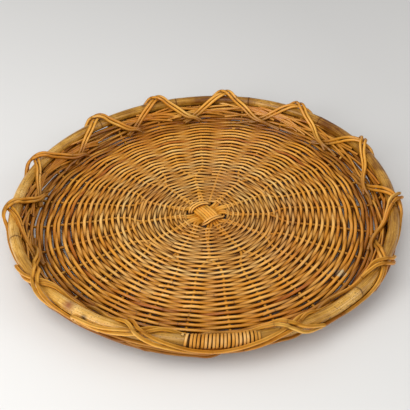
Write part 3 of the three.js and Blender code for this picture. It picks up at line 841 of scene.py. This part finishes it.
POLE_SHADES = [
    (0.0, (0.12, 0.035, 0.002)),
    (0.3, (0.34, 0.155, 0.014)),
    (0.6, (0.60, 0.32, 0.055)),
    (1.0, (0.80, 0.54, 0.21)),
]
POLE_RING_WIDTH = 0.0017
POLE_STAIN_WIDTH = 0.012
WOUND_HALF = 0.047
WOUND_FADE = 0.004
AGED_FADE = 0.05
POLE_RING = (0.05, 0.012, 0.001)
POLE_STAIN = (0.16, 0.055, 0.012)
POLE_SPECK = (0.07, 0.03, 0.006)
AGED_WOOD = (0.20, 0.085, 0.006)
# Painted shade between the binding's turns.
SHADE_UNDER_BINDING = (0.028, 0.007, 0.0004)
# The side of the pole that is painted paler, as painted light towards the lamps.
LAMP_SIDE = math.radians(-128)
# Each mark's place round the rim and round the pole's section in degrees, its size and its colour.
POLE_MARKS = [
    (-129.1, 62, 0.011, (0.27, 0.095, 0.03)), (-123.4, 24, 0.0056, (0.012, 0.004, 0.001)),
    (-50.7, -15, 0.0032, (0.03, 0.012, 0.004)), (-58, -10, 0.0030, (0.03, 0.012, 0.004)),
    (112, 80, 0.006, (0.10, 0.035, 0.006)), (12, 70, 0.007, (0.13, 0.05, 0.008)),
]


def pole_finish():
    """Thick unpeeled rattan: streaks along it, brown blotches, dark leaf rings, small specks and marks.
    Light is painted into it as a paler front left, towards the lamps. It is darker near the binding, and
    shade is painted under the binding, where it is nearly black."""
    finish = Finish("pole rattan")
    along, cosine, sine = finish.grain()
    object_point = finish.node("ShaderNodeTexCoord", output=3)
    fibre_point = finish.node("ShaderNodeCombineXYZ", None, along * 10, cosine * 3, sine * 3)
    fibre = finish.noise(fibre_point, 2.5, 6.0, 0.7)
    patch = finish.noise(object_point, 13.0, 4.0, 0.6)
    specks = finish.noise(object_point, 420.0, 2.0, 0.5)
    # Painted light: the pole's colour is paler on its front left, towards the lamps, and darker on the back
    # right.
    pale = (along / RIM_RADIUS - LAMP_SIDE + BINDING_ANGLE).cosine()
    shade = 0.40 + pale * 0.15 + (fibre - 0.5) * 1.9 + (patch - 0.5) * 1.7
    color = finish.node("ShaderNodeValToRGB", {"stops": POLE_SHADES}, shade.clamped())
    from_ring = math.pi * RIM_RADIUS
    for ring in POLE_RINGS:
        metres = ((ring - BINDING_ANGLE) % (2 * math.pi)) * RIM_RADIUS
        from_ring = (along - metres + (fibre - 0.5) * 0.004).size().smaller(from_ring)
    rings = from_ring.within(POLE_RING_WIDTH)
    stain = from_ring.within(POLE_STAIN_WIDTH)
    from_joint = math.pi * RIM_RADIUS - (along - math.pi * RIM_RADIUS).size()
    # Painted shade: under the binding the pole is nearly black, as shade between the turns.
    wound = ((WOUND_HALF - from_joint) / WOUND_FADE).clamped()
    aged = ((WOUND_HALF + AGED_FADE - from_joint) / AGED_FADE).clamped()
    color = finish.mixed(aged * (1.2 - patch).clamped(), color, AGED_WOOD)
    color = finish.mixed(wound * 0.95, color, SHADE_UNDER_BINDING)
    color = finish.mixed(stain * (patch - 0.25).clamped(), color, POLE_STAIN)
    color = finish.mixed(rings * 0.95, color, POLE_RING)
    color = finish.mixed(specks.above(0.575, 9) * patch.above(0.40, 5) * 0.85, color, POLE_SPECK)
    for angle, section, size, shade in POLE_MARKS:
        spot = round_pole(POLE_RADIUS, math.radians(section), math.radians(angle))
        away = finish.distance(object_point, spot)
        color = finish.mixed(((1.2 - away / size) * (1.6 * patch)).clamped(), color, shade)
    varnish = ((fibre * 0.6 + 0.2) * (1 - rings - wound)).clamped()
    finish.wear(color, (fibre - 0.5) * 0.35 + 0.46, fibre + rings * 0.6, 0.5, varnish)
    return finish.material


dress(pole, pole_finish(), "pole", "rim_pole")


# Rim binding
# A strip of cane is wound about twenty times round the joint of the pole, with a little dark air between
# its turns. The first turn on the left has come away from the others.

BINDING_TURNS = 20
CANE_WIDTH = 0.0040
CANE_THICKNESS = 0.0022
CANE_PITCH = 0.00495
CANE_SIDES = 12
CANE_TONE = 0.7
STEPS_PER_TURN = 24
CANE_DISTANCE = POLE_RADIUS + 0.0004
BINDING_HALF = BINDING_TURNS * CANE_PITCH / 2
FIRST_TURN_SLACK = 0.0024
TURN_STRAY = 0.0003

bpy.ops.object.select_all(action="DESELECT")
bpy.ops.mesh.primitive_circle_add(vertices=CANE_SIDES, radius=1, rotation=(math.pi / 2, 0, 0))
binding = bpy.context.object
binding.name = "cane_binding"
bpy.ops.object.transform_apply(location=True, rotation=True, scale=True)
bpy.ops.object.mode_set(mode="EDIT")
bpy.ops.mesh.select_all(action="SELECT")
bpy.ops.transform.resize(value=(CANE_WIDTH / 2, 1, CANE_THICKNESS / 2))
bpy.ops.transform.translate(value=(0, 0, CANE_DISTANCE))
bpy.ops.object.mode_set(mode="OBJECT")
winding = binding.modifiers.new("winding", "SCREW")
winding.axis = "X"
winding.angle = 2 * math.pi
winding.screw_offset = CANE_PITCH
winding.iterations = BINDING_TURNS
winding.steps = winding.render_steps = STEPS_PER_TURN
winding.use_merge_vertices = False
bpy.ops.object.modifier_apply(modifier=winding.name)
turn_length = 2 * math.pi * CANE_DISTANCE
rings_in_all = len(binding.data.vertices) // CANE_SIDES
lay_grain(binding, CANE_SIDES, [(rings_in_all, BINDING_TURNS * turn_length)], [CANE_TONE])
for vertex in binding.data.vertices:
    along, outwards, upwards = vertex.co
    turns = vertex.index // CANE_SIDES / STEPS_PER_TURN
    slack = FIRST_TURN_SLACK * (1 - part_way(turns, 0.6, 1.3)) + TURN_STRAY * math.sin(turns * 2.3)
    angle = BINDING_ANGLE + (along - slack - BINDING_HALF) / RIM_RADIUS
    vertex.co = place(RIM_RADIUS + outwards, MIDDLE.z + upwards, angle)
lay_depth(binding, CANE_SIDES)
close_ends(binding)
CANE_SHADES = [
    (0.0, (0.12, 0.035, 0.002)),
    (0.4, (0.28, 0.105, 0.008)),
    (0.7, (0.64, 0.34, 0.07)),
    (1.0, (0.90, 0.64, 0.28)),
]
# The cane's turns have painted shade on their sides.
cane_finish = rattan("cane", CANE_SHADES, blotch=0.7, ring_share=0.3, side_shade=1.0)
dress(binding, cane_finish, "binding", "rim_binding")


# Border pairs
# Rods go side by side from the weave up the wall, lean over the pole, cross the next pair on top of it and
# end outside. One pair of each crossing lies on top, and one of them has a long tail along the pole.

ROD_DIAMETER = 0.0052
ROD_SPACING = 0.0059
ROD_SHAKE = 0.0003
HALF_WALL = 0.0068
POLE_GAP = 0.0009
WALL_LAYER = HALF_WALL + ROD_DIAMETER / 2
POLE_LAYER = POLE_RADIUS + ROD_DIAMETER / 2 + POLE_GAP
FACING_SECTION = WALL_ANGLE + math.pi / 2
FACING_RUN = STICK_END + POLE_RADIUS
CROSSING_RUN = TURN_TOP - 0.006
PEAK_SECTION = math.radians(62)
PEAK_RUN = FACING_RUN + POLE_LAYER * (FACING_SECTION - PEAK_SECTION)
CLIMB_LENGTH = PEAK_RUN - CROSSING_RUN
# Shares of the way from the crossing in the wall to the peak on the pole, with shares of a rod's lift.
CLIMB = [(-0.12, 1), (0.12, 1), (0.42, 0.15), (0.7, 0), (0.86, 0.9), (1, 1)]
PASSING_GAP = 0.0004
TAIL_PIECE = 0.03
TAIL_SINK = 0.012
STUB_SHARE = 0.6
LONG_TAIL = 0.74
SHORT_TAIL = 0.3
# Where round the rim the pairs cross on the pole. At the first few, the pair on top is cut short.
PEAK_ANGLES = [math.radians(angle) for angle in
               (-69, -33.5, -3.9, 26.7, 55.5, 82.3, 106.9, 130.2, 159.4, 184.3, 218.1, 252.1)]
PEAKS_CUT_SHORT = 4
BORDER_SHADES = [
    (0.0, (0.16, 0.045, 0.003)),
    (0.35, (0.50, 0.18, 0.012)),
    (0.65, (0.76, 0.35, 0.036)),
    (1.0, (0.90, 0.54, 0.12)),
]
# The border rods have painted shade between them, on their sides and low down under the pole.
border_finish = rattan("border rattan", BORDER_SHADES, streak=0.6, blotch=0.5, between_shade=0.55, low_shade=0.75)

Station = namedtuple("Station", "run angle height")


def peak_angle(peak):
    turns, index = divmod(peak, len(PEAK_ANGLES))
    return PEAK_ANGLES[index] + turns * 2 * math.pi


def border_point(station):
    """A point on the wall or, past its top, round the pole, at a height above the lowest layer of rods."""
    run, angle, height = station
    if run <= FACING_RUN:
        return sheet_point(run, WALL_LAYER + height, angle)
    beside = apart(angle, BINDING_ANGLE) * RIM_RADIUS - BINDING_HALF
    over_cane = CANE_THICKNESS * (1 - part_way(beside, 0.003, 0.009))
    section = FACING_SECTION - (run - FACING_RUN) / POLE_LAYER
    return round_pole(POLE_LAYER + height + over_cane, section, angle)


def rod_beside(stations, aside, lean, tone, chance):
    """One rod of a pair, which keeps to one side of the pair's own line."""
    knots = []
    for i, station in enumerate(stations):
        before = stations[max(0, i - 1)]
        after = stations[min(len(stations) - 1, i + 1)]
        rise = after.run - before.run
        way = lean * (after.angle - before.angle) * RIM_RADIUS
        length = math.hypot(rise, way)
        shift = aside + chance.uniform(-ROD_SHAKE, ROD_SHAKE)
        run = station.run + shift * way / length
        angle = station.angle - lean * shift * rise / length / RIM_RADIUS
        knots.append(border_point(Station(run, angle, station.height)))
    diameter = ROD_DIAMETER * chance.uniform(0.93, 1.02)
    return Rod(knots, [diameter * chance.uniform(0.97, 1.03) for _ in knots], tone)


def pair_stations(peak, lean, on_top, tail_share, is_stub, chance):
    """The pair's own line, from the weave over the pole to the end of its tail. A stub starts just under
    the crossing, and other rods come from further along. At the front a pair goes down more slowly."""
    top = peak_angle(peak)
    climb = abs(top - peak_angle(peak - lean)) / 2
    over = ROD_DIAMETER + PASSING_GAP if on_top else 0
    front = part_way(-math.sin(top), 0.4, 0.9)

    def at(share, lift=0.0, onwards=0.0):
        """A share of the way from the crossing to the peak or past it, lifted and moved on along it."""
        angle = top + lean * climb * (share - 1 + onwards)
        return Station(CROSSING_RUN + share * CLIMB_LENGTH, angle, lift * over)

    if is_stub:
        stations = [at(-0.26)]
    else:
        run = CROSSING_RUN - chance.uniform(0.005, 0.009)
        stations = [
            Station(run - 0.002, top - lean * climb * chance.uniform(1.5, 1.7), -0.0055),
            Station(run + 0.001, top - lean * climb * 1.32, -0.0015),
        ]
    stations += [at(share, lift) for share, lift in CLIMB]
    if not tail_share:
        return stations + [at(1.13, 0.8), at(1.18 + 0.2 * front, 0.4 - 0.25 * front, 0.06 * front)]
    stations.append(at(1.14 - 0.03 * front, 0.9, 0.1 * front))
    stations += [at(1.25, 0.4, 0.3 * front), at(1.4, 0, 0.55 * front)]
    turned = stations[-1]
    tail = tail_share * abs(peak_angle(peak + lean) - top) - lean * (turned.angle - top)
    pieces = max(1, round(tail * RIM_RADIUS / TAIL_PIECE))
    sink = TAIL_SINK * part_way(tail_share, 0.3, 0.8)
    for i in range(1, pieces + 1):
        share = i / pieces
        stations.append(Station(turned.run + sink * share, turned.angle + lean * tail * share, 0.0))
    return stations


chance = random.Random(23)
for peak in range(len(PEAK_ANGLES)):
    over_tail, under_tail = (0, LONG_TAIL) if peak < PEAKS_CUT_SHORT else (LONG_TAIL, SHORT_TAIL)
    for kind, lean, tail_share in (("over", 1, over_tail), ("under", -1, under_tail)):
        name = "pair_" + kind + "_" + str(peak + 1)
        tone = chance.uniform(0.55, 0.75)
        rods = []
        for lane in (-1, 1):
            share = tail_share * chance.uniform(0.9, 1.12)
            is_stub = chance.random() < STUB_SHARE
            stations = pair_stations(peak, lean, kind == "over", share, is_stub, chance)
            rod_tone = tone + chance.gauss(0, 0.06)
            rods.append(rod_beside(stations, lane * ROD_SPACING / 2, lean, rod_tone, chance))
        pair = bend_rods(name, rods, sides=12)
        dress(pair, border_finish, "border", "border_" + name)


# Outer strands
# Long ends of border rods lie under the outside of the pole, all the way round, and in a thicker bundle at
# the front on the left.

# The strands' darker tone is painted shade, for their place low under the pole.
STRAND_TONE = 0.36
STRAND_PIECE = 0.09
STRAND_SECTION = -58
DIVING_SECTION = -112
# Between which degrees of the rim each strand lies, and in which layer from the pole outwards.
STRANDS = [
    (-178, -120, 0), (-125, -62, 0), (-66, -8, 0), (-14, 45, 0), (40, 110, 0), (104, 186, 0),
    (-163, -108, 1), (-116, -84, 1), (-46, 6, 1),
    (-144, -84, 2), (-112, -88, 2),
]


def outer_strand(first, last, layer, chance):
    """One rod of the bundle, which rises and sinks a little on its way and dives in at both ends. It lies a
    little lower at the back."""
    start = math.radians(first)
    span = math.radians(last - first)
    diameter = ROD_DIAMETER * chance.uniform(0.85, 1.0)
    pieces = max(3, round(span / STRAND_PIECE))
    phase = chance.uniform(0, 2 * math.pi)
    knots = []
    for i in range(pieces + 1):
        share = i / pieces
        angle = start + span * share
        low = 12 * part_way(math.sin(angle), -0.4, 0.4)
        section = STRAND_SECTION - low - 8 * layer + 7 * math.sin(2 * math.pi * share + phase)
        distance = POLE_RADIUS + ROD_DIAMETER * (0.62 + 0.85 * layer)
        if i in (0, pieces):
            section = DIVING_SECTION
            distance = POLE_RADIUS + ROD_DIAMETER * 0.4
        knots.append(round_pole(distance, math.radians(section), angle))
    return Rod(knots, [diameter] * len(knots), chance.gauss(STRAND_TONE, 0.1))


strands = [outer_strand(first, last, layer, chance) for first, last, layer in STRANDS]
outer = bend_rods("outer_strands", strands, sides=12)
dress(outer, border_finish, "border")


# Ground, light and camera
# The tray stands on seamless pale paper, whose colour is painted darker at the back on the right as
# painted shade. One soft lamp hangs over it and one stands at each side. It is seen from the front and
# above.

PALE_PAPER = (0.80, 0.802, 0.80)
SHADED_PAPER = (0.645, 0.646, 0.646)

bpy.ops.mesh.primitive_plane_add(size=8)
ground = bpy.context.object
ground.name = "ground"
paper = Finish("pale paper")
across, away, _ = paper.parts(paper.node("ShaderNodeTexCoord", output=3))
# Painted shade: the paper's colour darkens towards the back and the right.
near = (0.46 - away * 0.32 - across * 0.85).clamped()
paper.feed(paper.shader.inputs["Base Color"], paper.mixed(near, SHADED_PAPER, PALE_PAPER))
paper.feed(paper.shader.inputs["Roughness"], 0.9)
paper.feed(paper.shader.inputs["Specular IOR Level"], 0.1)
ground.data.materials.append(paper.material)

world = bpy.data.worlds.new("studio")
bpy.context.scene.world = world
world.use_nodes = True
sky = world.node_tree.nodes["Background"]
sky.inputs["Color"].default_value = (1, 0.985, 0.965, 1)
sky.inputs["Strength"].default_value = 0.56

# Each lamp's name, place, width and power in watts.
LAMPS = [
    ("key_lamp", (-0.45, -0.6, 1.6), 1.2, 11),
    ("left_lamp", (-1.9, -1.7, 1.1), 1.6, 40),
    ("right_lamp", (2.2, -0.5, 1.3), 1.6, 16),
]
for name, location, size, power in LAMPS:
    bpy.ops.object.light_add(type="AREA", location=location)
    lamp = bpy.context.object
    lamp.name = name
    lamp.data.size = size
    lamp.data.energy = power
    lamp.data.color = (1, 0.985, 0.96)
    lamp.rotation_euler = (-lamp.location).to_track_quat("-Z", "Y").to_euler()

LOOK_AT = Vector((MIDDLE.x - 0.001, MIDDLE.y + 0.0308, 0.007))
CAMERA_DISTANCE = 1.35
CAMERA_ELEVATION = math.radians(38.8)
CAMERA_ROLL = math.radians(-1.32)
back = Vector((0, -math.cos(CAMERA_ELEVATION), math.sin(CAMERA_ELEVATION)))
bpy.ops.object.camera_add(location=LOOK_AT + CAMERA_DISTANCE * back)
camera = bpy.context.object
camera.name = "photo_camera"
camera.data.sensor_width = 36
camera.data.lens = 71.45
aim = (-back).to_track_quat("-Z", "Y").to_matrix()
camera.rotation_euler = (aim @ Matrix.Rotation(CAMERA_ROLL, 3, "Z")).to_euler()
bpy.context.scene.camera = camera
bpy.context.scene.view_settings.view_transform = "Standard"
